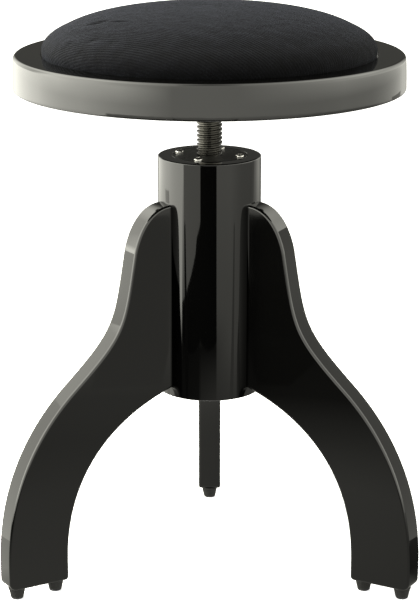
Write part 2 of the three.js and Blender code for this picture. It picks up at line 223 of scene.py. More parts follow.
class Look:
    """A node material on a Principled shader, with short ways to add and join nodes."""

    def __init__(self, name, color, roughness, metallic=0.0):
        self.material = bpy.data.materials.new(name)
        self.material.use_nodes = True
        self.tree = self.material.node_tree
        self.shader = self.tree.nodes["Principled BSDF"]
        self.set("Base Color", (*color, 1))
        self.set("Roughness", roughness)
        self.set("Metallic", metallic)
        self.place = self.tree.nodes.new("ShaderNodeTexCoord").outputs["Object"]

    def set(self, name, value):
        self.shader.inputs[name].default_value = value

    def link(self, name, socket):
        self.tree.links.new(socket, self.shader.inputs[name])

    def node(self, kind, inputs, **settings):
        made = self.tree.nodes.new("ShaderNode" + kind)
        for key, value in settings.items():
            setattr(made, key, value)
        for key, value in inputs.items():
            if isinstance(value, bpy.types.NodeSocket):
                self.tree.links.new(value, made.inputs[key])
            else:
                made.inputs[key].default_value = value
        return made

    def noise(self, scale, detail=4, vector=None):
        inputs = {"Vector": vector or self.place, "Scale": scale, "Detail": detail}
        return self.node("TexNoise", inputs).outputs["Fac"]

    def math(self, operation, a, b=0.0):
        return self.node("Math", {0: a, 1: b}, operation=operation).outputs[0]

    def ramp(self, value, low, high, out_low=0.0, out_high=1.0):
        inputs = {"Value": value, "From Min": low, "From Max": high, "To Min": out_low, "To Max": out_high}
        return self.node("MapRange", inputs).outputs["Result"]

    def mixed(self, share, a, b):
        """A colour between two, each given as a socket or as red, green and blue."""
        made = self.node("Mix", {"Factor": share}, data_type="RGBA")
        for key, value in (("A", a), ("B", b)):
            socket = next(s for s in made.inputs if s.name == key and s.type == "RGBA")
            if isinstance(value, bpy.types.NodeSocket):
                self.tree.links.new(value, socket)
            else:
                socket.default_value = (*value, 1)
        return next(s for s in made.outputs if s.type == "RGBA")

    def bump(self, height, distance):
        made = self.node("Bump", {"Height": height, "Distance": distance})
        self.link("Normal", made.outputs["Normal"])


def lacquer_look():
    """Polished black lacquer: almost flat, with a faint ripple, and duller where it is rubbed."""
    look = Look("black_lacquer", (0.002, 0.002, 0.002), 0.04)
    rubbing = look.noise(14, 5)
    look.link("Roughness", look.ramp(rubbing, 0.35, 0.75, 0.02, 0.06))
    depth = look.noise(6, 3)
    look.link("Base Color", look.mixed(depth, (0.0014, 0.0014, 0.0013), (0.0024, 0.0024, 0.0021)))
    look.bump(look.noise(38, 2), 0.00002)
    return look.material


def corduroy_look():
    """Black corduroy: painted shade between its ribs, patchy where the pile is brushed, and painted shade
    at its marks.
    """
    look = Look("seat_corduroy", (0.0052, 0.0055, 0.0069), 0.9)
    look.set("Specular IOR Level", 0.08)
    look.set("Sheen Weight", 0.06)
    look.set("Sheen Roughness", 0.28)
    look.set("Sheen Tint", (0.62, 0.68, 0.9, 1))
    rib = look.node("Attribute", {}, attribute_name="rib").outputs["Fac"]
    nap_dent_and_shade = look.node("Attribute", {}, attribute_name="nap_dent_and_shade").outputs["Fac"]
    flat = look.node("Attribute", {}, attribute_name="flat").outputs["Vector"]
    patches = look.noise(85, 7, flat)
    pile = look.noise(1100, 3)
    # Painted shade: the pressed-pile marks go near black, standing in for the sheen that pressed pile
    # loses.
    painted_mark_shade = look.math("MULTIPLY", nap_dent_and_shade, look.ramp(patches, 0.3, 0.55))
    top = look.mixed(look.ramp(patches, 0.33, 0.67), (0.0018, 0.0019, 0.0023), (0.0082, 0.0087, 0.0109))
    flecked = look.mixed(look.ramp(pile, 0.35, 0.7), top, (0.0018, 0.0019, 0.0022))
    # Painted shade: the grooves between the ribs are darker than the ribs' tops.
    painted_groove_shade = look.mixed(look.ramp(rib, 0.0, 0.7), (0.0024, 0.0025, 0.0028), flecked)
    look.link("Base Color", look.mixed(painted_mark_shade, painted_groove_shade, (0.001, 0.001, 0.0012)))
    look.link("Roughness", look.ramp(pile, 0.3, 0.7, 0.8, 0.98))
    look.bump(look.math("ADD", pile, look.math("MULTIPLY", patches, 2.0)), 0.0005)
    return look.material


def steel_look():
    """Turned steel, blackened and oiled, with fine rings round the screw."""
    look = Look("screw_steel", (0.045, 0.044, 0.039), 0.2, 1.0)
    height = look.node("SeparateXYZ", {"Vector": look.place}).outputs["Z"]
    along = look.node("CombineXYZ", {"Z": height}).outputs["Vector"]
    rings = look.noise(5200, 2, along)
    stain = look.noise(90)
    stained = look.ramp(stain, 0.35, 0.7)
    look.link("Base Color", look.mixed(stained, (0.054, 0.052, 0.046), (0.032, 0.031, 0.027)))
    look.link("Roughness", look.ramp(look.math("ADD", rings, stain), 0.6, 1.4, 0.06, 0.15))
    look.bump(rings, 0.00003)
    return look.material


def zinc_look():
    """Bright zinc plate, slightly spotted."""
    look = Look("zinc", (0.72, 0.71, 0.68), 0.2, 1.0)
    spots = look.noise(700)
    look.link("Base Color", look.mixed(look.ramp(spots, 0.4, 0.7), (0.76, 0.75, 0.72), (0.58, 0.57, 0.53)))
    look.link("Roughness", look.ramp(spots, 0.3, 0.7, 0.12, 0.28))
    look.bump(spots, 0.00003)
    return look.material


def dark_look(name, low, high, rough_low, rough_high, scale, relief):
    """A black, grained surface: japanned iron, nylon or rubber."""
    look = Look(name, high, rough_high)
    grain = look.noise(scale, 5)
    look.link("Base Color", look.mixed(look.ramp(grain, 0.3, 0.7), (low,) * 3, high))
    look.link("Roughness", look.ramp(grain, 0.3, 0.7, rough_low, rough_high))
    look.bump(grain, relief)
    return look.material


def wood_look(name, light, dark, scale):
    """Raw wood, streaked along X."""
    look = Look(name, light, 0.7)
    drawn_out = look.node("Mapping", {"Vector": look.place, "Scale": (1, 12, 12)}).outputs["Vector"]
    streaks = look.noise(scale, 6, drawn_out)
    look.link("Base Color", look.mixed(look.ramp(streaks, 0.35, 0.65), light, dark))
    look.link("Roughness", look.ramp(streaks, 0.3, 0.7, 0.6, 0.8))
    look.bump(streaks, 0.0002)
    return look.material


lacquer = lacquer_look()
corduroy = corduroy_look()
steel = steel_look()
zinc = zinc_look()
iron = dark_look("black_iron", 0.006, (0.016, 0.016, 0.015), 0.28, 0.46, 420, 0.0001)
nylon = dark_look("nylon", 0.008, (0.018, 0.018, 0.017), 0.36, 0.55, 1800, 0.00004)
rubber = dark_look("foot_rubber", 0.003, (0.007, 0.007, 0.0065), 0.55, 0.75, 1400, 0.00008)
beech = wood_look("beech", (0.60, 0.40, 0.22), (0.44, 0.27, 0.13), 14)
plywood = wood_look("plywood", (0.58, 0.42, 0.24), (0.40, 0.26, 0.13), 9)


# ---------------- threads

PITCH = 4 * MM
THREAD_R = 11.5 * MM
THREAD_ROOT_R = 10 * MM
ROOT_HALF = 0.1825 * PITCH  # half the root's width; the crest is as wide
CREST_MIDDLE = 0.3175 * PITCH  # the height of a crest's middle above each whole pitch, at angle 0
THREAD_STEPS = 64  # per turn


def thread_profile(crest_r, root_r, play):
    """One pitch of a thread from root to root, as radius and height, with its corners rounded."""
    root = ROOT_HALF - play
    crest = PITCH / 2 - ROOT_HALF - play
    corners = [
        (root_r, -root, 0),
        (root_r, root, 0.25 * MM),
        (crest_r, crest, 0.3 * MM),
        (crest_r, PITCH - crest, 0.3 * MM),
        (root_r, PITCH - root, 0.25 * MM),
        (root_r, PITCH + root, 0),
    ]
    return rounded(corners, steps=3)[1:-1]


def thread(name, crest_r, root_r, play, low, high):
    """A right-hand threaded rod, trimmed flat and closed at both ends."""
    profile = thread_profile(crest_r, root_r, play)
    first = math.floor(low / PITCH) - 2
    turns = math.ceil((high - low) / PITCH) + 4
    bm = bmesh.new()
    columns = []
    for k in range(THREAD_STEPS + 1):
        angle = 2 * math.pi * k / THREAD_STEPS
        across = Vector((math.cos(angle), math.sin(angle), 0))
        start = PITCH * (first + k / THREAD_STEPS - 0.5) + CREST_MIDDLE
        heights = [(r, start + PITCH * turn + z) for turn in range(turns) for r, z in profile]
        columns.append([bm.verts.new(AXIS + across * r + Vector((0, 0, z))) for r, z in heights])
    for left, right in zip(columns, columns[1:]):
        for j in range(len(left) - 1):
            bm.faces.new((left[j], right[j], right[j + 1], left[j + 1]))
    bmesh.ops.remove_doubles(bm, verts=bm.verts, dist=1e-6)
    for height, up in ((low, -1), (high, 1)):
        parts = bm.verts[:] + bm.edges[:] + bm.faces[:]
        cut_at = {"plane_co": (0, 0, height), "plane_no": (0, 0, up)}
        bmesh.ops.bisect_plane(bm, geom=parts, clear_outer=True, **cut_at)
        rim = [e for e in bm.edges if e.is_boundary and all(abs(v.co.z - height) < 1e-6 for v in e.verts)]
        bmesh.ops.holes_fill(bm, edges=rim, sides=0)
    return new_object(name, bm)


# ---------------- screws

class Screw:
    """A kind of pan-head screw: its head's radius and height, and its shank's radius."""

    def __init__(self, name, head_r, head_h, shank_r, length):
        self.head_r = head_r * MM
        self.head_h = head_h * MM
        self.shank_r = shank_r * MM
        self.mesh = self.build(name, length * MM)

    def build(self, name, length):
        """The screw with its head standing on z = 0 and its tip below, with a cross recess on top."""
        tip = 2 * self.shank_r
        outline = rounded([
            (0, -length, 0),
            (self.shank_r, tip - length, 0.3 * MM),
            (self.shank_r, 0, 0),
            (self.head_r, 0, 0),
            (self.head_r, self.head_h * 0.45, self.head_h * 0.35),
            (self.head_r * 0.5, self.head_h, self.head_h * 0.6),
            (0, self.head_h, 0),
        ])
        made = turned(name, outline, 32, at=Vector((0, 0, 0)))
        cut(made, self.slot_tool(0), self.slot_tool(90))
        smooth(made)
        mesh = apply_modifiers(made).data
        bpy.data.objects.remove(made)
        return mesh

    def slot_tool(self, turn):
        """One arm of the cross recess, narrowing downwards."""
        bm = bmesh.new()
        size = Matrix.Diagonal((1.2 * self.head_r, 0.26 * self.head_r, 1.5 * self.head_h, 1))
        place = Matrix.Translation((0, 0, self.head_h)) @ Matrix.Rotation(math.radians(turn), 4, "Z")
        made = bmesh.ops.create_cube(bm, size=1, matrix=place @ size)
        for vert in made["verts"]:
            if vert.co.z < self.head_h:
                vert.co.x *= 0.45
                vert.co.y *= 0.45
        return new_object("slot", bm)

    def set_in(self, node, body, up):
        """Puts a screw where its CAD node stands, with its head up or down."""
        low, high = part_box(node)
        at = (low + high) / 2
        seat = high.z - self.head_h if up else low.z + self.head_h
        screw = bpy.data.objects.new(node + "_fine", self.mesh.copy())
        bpy.context.scene.collection.objects.link(screw)
        tipped = Matrix.Identity(4) if up else Matrix.Rotation(math.pi, 4, "X")
        spin = Matrix.Rotation(random.uniform(0, math.pi), 4, "Z")
        screw.matrix_world = Matrix.Translation((at.x, at.y, seat)) @ tipped @ spin
        settle(screw, body, "zinc", zinc, node)


flange_screw = Screw("flange_screw", 3.6, 2.2, 1.9, 24)
plate_screw = Screw("plate_screw", 4.2, 2.3, 2.1, 19)
board_screw = Screw("board_screw", 4.2, 2.3, 2.1, 22)
foot_screw = Screw("foot_screw", 3.0, 1.8, 1.5, 20)
end_screw = Screw("end_screw", 5.0, 3.2, 2.5, 20)


def build_screws():
    """All the screws, each where its CAD node stands."""
    for number in NUMBERS:
        flange_screw.set_in(f"flange_screw_{number}", "base", up=True)
        plate_screw.set_in(f"plate_screw_{number}", "seat", up=False)
        board_screw.set_in(f"board_screw_{number}", "seat", up=False)
    for side in LEG_ANGLES:
        for spot in SPOTS:
            foot_screw.set_in(f"foot_screw_{side}_{spot}", "base", up=False)
    end_screw.set_in("end_screw", "seat", up=False)


def holes_for(node, kind, head_room=0.0):
    """Cutting tools for four screws that stand head down, and for their heads where those are sunk."""
    tools = []
    for number in NUMBERS:
        low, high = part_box(f"{node}_{number}")
        at = middle_of(f"{node}_{number}")
        tools.append(rod("hole", kind.shank_r + SCREW_PLAY, low.z + GAP, high.z + MM, 24, at))
        if head_room:
            floor = low.z + kind.head_h + GAP
            tools.append(rod("counterbore", kind.head_r + SCREW_PLAY, low.z - head_room, floor, 32, at))
    return tools


# ---------------- seat

RECESS_PLAY = 0.6 * MM
RECESS_EDGE = 0.2 * MM
SEAT_EDGE = 3.6 * MM
LOWER_SEAT_EDGE = 1.5 * MM
SIDE_BOW = 0.8 * MM  # how far the side bows in at its top
SIDE_BOW_R = 400 * MM
SIDE_BOW_START = 14 * MM  # above the seat's underside


def build_seat():
    """The turned disc: a rim with round edges, a recess for the pad, and counterbores underneath."""
    seat_r = radius_of("seat_disc")
    recess_r = radius_of("cushion_cover") + RECESS_PLAY
    floor = pad_low.z - GAP
    outline = rounded([
        (0, seat_low.z, 0),
        (seat_r, seat_low.z, LOWER_SEAT_EDGE),
        (seat_r, seat_low.z + SIDE_BOW_START, SIDE_BOW_R),
        (seat_r - SIDE_BOW, seat_high.z, SEAT_EDGE),
        (recess_r, seat_high.z, RECESS_EDGE),
        (recess_r, floor, 0),
        (0, floor, 0),
    ], steps=10)
    seat = turned("seat_rim", outline, 256)
    cut(seat, *holes_for("board_screw", board_screw, head_room=10 * MM))
    cut(seat, *holes_for("plate_screw", plate_screw))
    settle(smooth(seat), "seat", "black_lacquer", lacquer, "seat_disc")


def build_plate():
    """The iron flange under the seat, with the boss that the screw is riveted into."""
    plate_r = radius_of("seat_plate")
    boss_top = plate_high.z - FLANGE_T
    outline = rounded([
        (0, plate_low.z, 0),
        (BOSS_R, plate_low.z, 1.2 * MM),
        (BOSS_R, boss_top, 2.5 * MM),
        (plate_r, boss_top, 1.2 * MM),
        (plate_r, plate_high.z, 0.3 * MM),
        (0, plate_high.z, 0),
    ])
    plate = turned("plate_under_seat", outline, 128)
    bore = turned("bore", [
        Vector((0, plate_low.z - MM)),
        Vector((SHANK_R + GAP, plate_low.z - MM)),
        Vector((SHANK_R + GAP, plate_high.z - RIVET_H - GAP)),
        Vector((RIVET_R + GAP, plate_high.z)),
        Vector((RIVET_R + GAP, plate_high.z + MM)),
        Vector((0, plate_high.z + MM)),
    ], 48)
    cut(plate, bore)
    cut(plate, *holes_for("plate_screw", plate_screw))
    settle(smooth(plate), "seat", "black_iron", iron, "seat_plate")


# ---------------- lifting screw

SHANK_R = 8 * MM
JOURNAL_R = 6 * MM
RIVET_R = 10.4 * MM
RIVET_H = 2.4 * MM
TAP_R = 12.1 * MM
TAP_ROOT_R = 10.5 * MM
END_HOLE = 21 * MM  # how deep the end screw's hole goes


def build_spindle():
    """The threaded rod, its shank riveted over in the plate, and the journal that carries the collar."""
    low = collar_high.z + GAP
    high = plate_low.z - GAP
    rods = thread("lifting_screw", THREAD_R, THREAD_ROOT_R, 0, low, high)
    shank = turned("shank", rounded([
        (0, high - 2 * MM, 0),
        (SHANK_R, high - 2 * MM, 0),
        (SHANK_R, plate_high.z - RIVET_H, 0),
        (RIVET_R, plate_high.z, 0.3 * MM),
        (0, plate_high.z, 0),
    ]), 64)
    journal = turned("journal", rounded([
        (0, spindle_low.z, 0),
        (JOURNAL_R, spindle_low.z, 0.6 * MM),
        (JOURNAL_R, low + 2 * MM, 0),
        (0, low + 2 * MM, 0),
    ]), 64)
    for extra in (shank, journal):
        join = rods.modifiers.new("join", "BOOLEAN")
        join.operation = "UNION"
        join.object = extra
    tap = rods.modifiers.new("tap", "BOOLEAN")
    hole_r = end_screw.shank_r + SCREW_PLAY
    tap.object = rod("tap", hole_r, spindle_low.z - MM, washer_low.z + END_HOLE, 24)
    tools = [m.object for m in rods.modifiers]
    apply_modifiers(rods)
    for tool in tools:
        bpy.data.objects.remove(tool)
    settle(smooth(rods, 50), "seat", "screw_steel", steel, "spindle")


def flange_holes(low, high):
    """Cutting tools for the shanks of the four screws in the hub's top."""
    radius = flange_screw.shank_r + SCREW_PLAY
    return [rod("hole", radius, low, high, 24, middle_of(f"flange_screw_{number}")) for number in NUMBERS]


def build_nut():
    """The round plate let into the hub's top, its threaded boss, and the holes for its four screws."""
    nut_r = radius_of("nut_flange")
    under = nut_high.z - FLANGE_T
    outline = rounded([
        (0, nut_low.z, 0),
        (BOSS_R, nut_low.z, 0.8 * MM),
        (BOSS_R, under, 0),
        (nut_r, under, 0.3 * MM),
        (nut_r, nut_high.z, 0.7 * MM),
        (0, nut_high.z, 0),
    ])
    nut = turned("nut_plate", outline, 128)
    cut(nut, thread("tap", TAP_R, TAP_ROOT_R, -GAP, nut_low.z - 2 * MM, nut_high.z + 2 * MM))
    cut(nut, *flange_holes(under - MM, nut_high.z + MM))
    settle(smooth(nut), "base", "black_iron", iron, "nut_flange")


def build_collar():
    """The nylon collar on the journal."""
    collar_r = radius_of("guide_collar")
    bore = JOURNAL_R + 2 * GAP
    outline = rounded([
        (bore, collar_low.z, 0.3 * MM),
        (collar_r, collar_low.z, MM),
        (collar_r, collar_high.z, MM),
        (bore, collar_high.z, 0.3 * MM),
    ], closed=True)
    ring = turned("collar_ring", outline, 96, closed=True)
    settle(smooth(ring), "collar", "nylon", nylon, "guide_collar")


def build_washer():
    """The washer that holds the collar on the journal."""
    hole = end_screw.shank_r + SCREW_PLAY
    washer_r = radius_of("end_washer")
    outline = rounded([
        (hole, washer_low.z, 0.2 * MM),
        (washer_r, washer_low.z, 0.5 * MM),
        (washer_r, washer_high.z, 0.3 * MM),
        (hole, washer_high.z, 0.2 * MM),
    ], closed=True)
    ring = turned("washer_ring", outline, 64, closed=True)
    settle(smooth(ring), "seat", "zinc", zinc, "end_washer")


# ---------------- hub and legs

BORE_R = 20 * MM
HUB_EDGE = 1.2 * MM


def dowel_holes(side):
    """Cutting tools round the two dowels of one leg, level and pointing away from the axis."""
    tools = []
    for level in ("upper", "lower"):
        low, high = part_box(f"dowel_{side}_{level}")
        at = (low + high) / 2
        radius = (high.z - low.z) / 2 + GAP
        length = (Vector((high.x, high.y, 0)) - Vector((low.x, low.y, 0))).length + 2 * MM
        tool = rod("dowel_hole", radius, -length / 2, length / 2, 32, at=Vector((0, 0, 0)))
        aim = Matrix.Rotation(math.radians(LEG_ANGLES[side]), 4, "Z") @ Matrix.Rotation(math.pi / 2, 4, "Y")
        tool.data.transform(Matrix.Translation(at) @ aim)
        tools.append(tool)
    return tools


def build_hub():
    """The turned column, with its bore, the recess for the nut's plate, and the dowels' holes."""
    hub_r = radius_of("hub")
    recess_r = radius_of("nut_flange") + GAP
    recess_floor = nut_high.z - FLANGE_T - GAP
    outline = rounded([
        (BORE_R, hub_low.z, 0.8 * MM),
        (hub_r, hub_low.z, HUB_EDGE),
        (hub_r, hub_high.z, HUB_EDGE),
        (recess_r, hub_high.z, 0.5 * MM),
        (recess_r, recess_floor, 0),
        (BORE_R, recess_floor, 0.5 * MM),
    ], closed=True, steps=6)
    hub = turned("column", outline, 192, closed=True)
    cut(hub, *(tool for side in LEG_ANGLES for tool in dowel_holes(side)))
    cut(hub, *flange_holes(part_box("flange_screw_1")[0].z - MM, recess_floor + MM))
    settle(smooth(hub), "base", "black_lacquer", lacquer, "hub")


LEG_EDGE = 2.2 * MM
LEG_EDGE_STEPS = 6
FOOT_R = 8 * MM
FOOT_SCREW_DEPTH = 4 * MM  # of the counterbore for the screw's head


def leg_outline():
    """A plank's outline, as distance from the axis and height: its outside, its foot and its arch."""
    reach = 211.2
    heel = 152.9
    sole = leg_low.z / MM
    shoulder = bezier((44, 346.2), (73.6, 346.2), (81.5, 310.1), (82.4, 305.2), 24)
    neck = bezier((82.4, 305.2), (93.9, 239.7), (91.6, 235.5), (143.5, 188.8), 30)
    knee = bezier((143.5, 188.8), (218, 121.9), (reach, 40.6), (reach, 18), 36)
    foot = rounded([(reach, 25, 0), (reach, sole, 7), (heel, sole, 3.5), (heel, 31.1, 0)], steps=8)[1:-1]
    arch = bezier((heel, 31.1), (heel, 147), (53.2, 172.4), (44, 177.1), 48)
    root = [Vector((44, 177.1)), Vector((39, 179)), Vector((39, 346.2))]  # inside the hub, and coped away
    return [point * MM for point in shoulder + neck + knee + foot + arch + root]


def plank(name, outline):
    """A plank with rounded long edges, standing in the plane of X and Z."""
    count = len(outline)
    thickness = leg_high.x - leg_low.x
    normals = []
    for i, here in enumerate(outline):
        back = (here - outline[i - 1]).normalized()
        ahead = (outline[(i + 1) % count] - here).normalized()
        along = (back + ahead).normalized()
        normals.append(Vector((-along.y, along.x)))
    bm = bmesh.new()
    sections = []
    for k in range(2 * LEG_EDGE_STEPS + 2):
        side = -1 if k <= LEG_EDGE_STEPS else 1
        step = k if side < 0 else 2 * LEG_EDGE_STEPS + 1 - k
        turn = math.pi / 2 * step / LEG_EDGE_STEPS
        inset = LEG_EDGE * (1 - math.sin(turn))
        y = side * (thickness / 2 - LEG_EDGE * (1 - math.cos(turn)))
        ring = [p - n * inset for p, n in zip(outline, normals)]
        sections.append([bm.verts.new((p.x, y, p.y)) for p in ring])
    for near, far in zip(sections, sections[1:]):
        for i in range(count):
            n = (i + 1) % count
            bm.faces.new((near[i], near[n], far[n], far[i]))
    bm.faces.new(sections[0][::-1])
    bm.faces.new(sections[-1])
    return new_object(name, bm)


def build_leg(side):
    """One plank, coped to the hub, with holes for its dowels and its feet's screws."""
    leg = plank(f"plank_{side}", leg_outline())
    leg.data.transform(Matrix.Translation(AXIS) @ Matrix.Rotation(math.radians(LEG_ANGLES[side]), 4, "Z"))
    cope = rod("cope", radius_of("hub") + GAP, hub_low.z - MM, hub_high.z + MM, 192)
    tools = [cope, *dowel_holes(side)]
    for spot in SPOTS:
        low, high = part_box(f"foot_screw_{side}_{spot}")
        at = middle_of(f"foot_screw_{side}_{spot}")
        tools.append(rod("pilot", foot_screw.shank_r + SCREW_PLAY, low.z, high.z + MM, 24, at))
    cut(leg, *tools)
    settle(smooth(leg), "base", "black_lacquer", lacquer, f"leg_{side}")


def build_foot(side, spot):
    """A rubber stud with a flared top, and a counterbore for its screw."""
    node = f"foot_{side}_{spot}"
    top = foot_high.z
    counterbore = foot_screw.head_r + SCREW_PLAY
    hole = foot_screw.shank_r + SCREW_PLAY
    outline = rounded([
        (counterbore, 0, 0.3 * MM),
        (FOOT_R - 2.5 * MM, 0, 1.2 * MM),
        (FOOT_R - 0.5 * MM, top - 1.8 * MM, 0.5 * MM),
        (FOOT_R, top - 1.2 * MM, 0.3 * MM),
        (FOOT_R, top, 0.3 * MM),
        (hole, top, 0),
        (hole, FOOT_SCREW_DEPTH, 0),
        (counterbore, FOOT_SCREW_DEPTH, 0),
    ], closed=True)
    stud = turned(f"stud_{side}_{spot}", outline, 64, closed=True, at=middle_of(node))
    settle(smooth(stud), "base", "foot_rubber", rubber, node)


# ---------------- pad

RIB_PITCH = 2.8 * MM
RIB_HEIGHT = 0.25 * MM
RIB_ANGLE = math.radians(-33)  # the ribs' direction in plan
RIB_POINTS = 5  # across one rib
RIB_STEP = 3.2 * MM  # along a rib
DOME_REACH = 118 * MM  # the two handles of the dome's curve
DOME_RISE = 18 * MM
HEM_PULL = 1.6 * MM  # how far the staples draw the side in at the rim
COVER_T = 1.1 * MM
TURN_IN_R = 130 * MM
NET_SPACING = 5 * MM  # of the net that the simulation moves
NET_TURNS = 96
HELD_RINGS = 3  # of the net, at the hem
SLACK = 2.5 * MM  # the net starts this far inside the full pad
STAPLE_PLAY = 0.7 * MM  # how unevenly the hem is drawn in
SWELL_CAP = 4 * MM
NAP_DENT = 1.4 * MM  # how deep the pile can be pressed
NAP_REACH = 1.4  # where a mark has faded out, in its half sizes
# Marks of pressed pile, dented into the cloth and painted darker as shade: place and half size across and
# along the ribs in mm, turn in degrees, and depth.
NAP_MARKS = (
    (-90.5, -60, 4, 9, -30, 1.0),
    (-89, -40, 1.4, 11, 2, 0.7),
    (-130.5, -64.5, 1.3, 6, -70, 0.6),
    (-130, -37, 3, 6, -20, 0.35),
)


def pad_outline():
    """The pad's outline from its crown to its hem, closely spaced, as radius and height."""
    pad_r = radius_of("cushion_cover") - RIB_HEIGHT
    crown = pad_high.z - RIB_HEIGHT
    widest = board_high.z + GAP
    dome = bezier((0, crown), (DOME_REACH, crown), (pad_r, widest + DOME_RISE), (pad_r, widest), 120)
    hem_z = board_low.z + 2 * MM
    side = bezier((pad_r, widest), (pad_r, widest - 3 * MM), (pad_r - HEM_PULL, hem_z + 3 * MM),
                  (pad_r - HEM_PULL, hem_z), 24)
    return dome + side + [Vector((pad_r - HEM_PULL, hem_z))]


def pad_net():
    """A net of points on the pad: rings of equal spacing along the cloth, from the crown to the hem."""
    outline = np.array([tuple(p) for p in pad_outline()])
    lengths = np.concatenate([[0], np.cumsum(np.linalg.norm(np.diff(outline, axis=0), axis=1))])
    count = round(lengths[-1] / NET_SPACING) + 1
    along = np.linspace(0, lengths[-1], count)
    radius = np.interp(along, lengths, outline[:, 0])
    height = np.interp(along, lengths, outline[:, 1])
    turns = 2 * np.pi * np.arange(NET_TURNS) / NET_TURNS
    x = AXIS.x + radius[:, None] * np.cos(turns)
    y = AXIS.y + radius[:, None] * np.sin(turns)
    z = np.repeat(height[:, None], NET_TURNS, axis=1)
    return np.stack([x, y, z], axis=-1), along


def slackened(net):
    """The net drawn a little into the foam, with the hem where uneven staples hold it."""
    start = net.copy()
    inward = np.stack([AXIS.x - net[..., 0], AXIS.y - net[..., 1]], axis=-1)
    reach = np.linalg.norm(inward, axis=-1, keepdims=True)
    inward /= np.maximum(reach, 1e-9)
    free = np.clip((len(net) - HELD_RINGS - np.arange(len(net))) / 5, 0, 1)
    start[..., :2] += inward * np.minimum(SLACK, reach) * free[:, None, None]
    start[..., 2] -= SLACK * free[:, None]
    staples = np.array([random.uniform(0, STAPLE_PLAY) for _ in range(NET_TURNS)])
    start[-HELD_RINGS:, :, :2] += inward[-HELD_RINGS:] * staples[None, :, None]
    return start


def skin_over(net):
    """A mesh with a vertex at the crown, and the rest of the net ring by ring."""
    bm = bmesh.new()
    crown = bm.verts.new(net[0, 0])
    rings = [[bm.verts.new(point) for point in ring] for ring in net[1:]]
    for k in range(NET_TURNS):
        bm.faces.new((crown, rings[0][k], rings[0][(k + 1) % NET_TURNS]))
    for near, far in zip(rings, rings[1:]):
        for k in range(NET_TURNS):
            n = (k + 1) % NET_TURNS
            bm.faces.new((near[k], far[k], far[n], near[n]))
    return new_object("skin", bm)


def under_pressure(net):
    """The net as cloth that pressure has swollen, while its hem is held."""
    skin = skin_over(net)
    pins = skin.vertex_groups.new(name="pins")
    total = len(skin.data.vertices)
    pins.add(range(total - HELD_RINGS * NET_TURNS, total), 1.0, "REPLACE")
    cloth = skin.modifiers.new("cloth", "CLOTH")
    cloth.settings.vertex_group_mass = "pins"
    cloth.settings.effector_weights.gravity = 0
    cloth.settings.use_pressure = True
    cloth.settings.uniform_pressure_force = 4
    cloth.settings.quality = 6
    for number in range(1, 21):
        bpy.context.scene.frame_set(number)
    apply_modifiers(skin)
    moved = np.array([tuple(v.co) for v in skin.data.vertices])
    bpy.data.objects.remove(skin)
    bpy.context.scene.frame_set(1)
    after = net.copy()
    after[0] = moved[0]
    after[1:] = moved[1:].reshape(len(net) - 1, NET_TURNS, 3)
    return after


def swollen(net):
    """The net after the foam has filled it out, as high and at most as wide as it was."""
    start = slackened(net)
    swell = under_pressure(start) - start
    size = np.linalg.norm(swell, axis=-1, keepdims=True)
    after = start + swell * np.minimum(1, SWELL_CAP / np.maximum(size, 1e-9))
    hem_z = after[-1, 0, 2]
    after[..., 2] = hem_z + (after[..., 2] - hem_z) * (net[0, 0, 2] - hem_z) / (after[0, 0, 2] - hem_z)
    spread = np.linalg.norm(after[..., :2] - np.array(AXIS[:2]), axis=-1, keepdims=True)
    widest = radius_of("cushion_cover") - RIB_HEIGHT
    drawn_in = np.minimum(1, widest / np.maximum(spread, 1e-9))
    after[..., :2] = AXIS[:2] + (after[..., :2] - AXIS[:2]) * drawn_in
    return after


def sample(net, along, length, turn):
    """Points of a smooth surface through the net, at lengths along the cloth and turns round it."""
    rows = length / along[1]
    row = np.clip(np.floor(rows).astype(int), 0, len(net) - 2)
    part_row = (rows - row)[:, None]
    columns = turn / (2 * np.pi) * NET_TURNS
    column = np.floor(columns).astype(int)
    part_column = (columns - column)[:, None]

    def weights(t):
        before = -t + 2 * t ** 2 - t ** 3
        here = 2 - 5 * t ** 2 + 3 * t ** 3
        after = t + 4 * t ** 2 - 3 * t ** 3
        return (before, here, after, t ** 3 - t ** 2)

    def point(i, k):
        behind = i < 0
        k = np.where(behind, k + NET_TURNS // 2, k) % NET_TURNS
        return net[np.minimum(np.abs(i), len(net) - 1), k]

    total = 0
    for di, wi in zip((-1, 0, 1, 2), weights(part_row)):
        for dk, wk in zip((-1, 0, 1, 2), weights(part_column)):
            total = total + wi * wk * point(row + di, column + dk) / 4
    return total


def nap_depth(flat):
    """How strongly the pile is pressed, from 0 to 1, at points of the flat cloth given in mm."""
    depth = np.zeros(len(flat))
    for x, y, half_wide, half_long, turn, deepest in NAP_MARKS:
        angle = math.radians(turn)
        across = (flat[:, 0] - x) * math.cos(angle) + (flat[:, 1] - y) * math.sin(angle)
        along = (flat[:, 1] - y) * math.cos(angle) - (flat[:, 0] - x) * math.sin(angle)
        spread = np.sqrt((across / half_wide) ** 2 + (along / half_long) ** 2)
        depth = np.maximum(depth, deepest * np.clip(NAP_REACH - spread, 0, 1))
    return depth


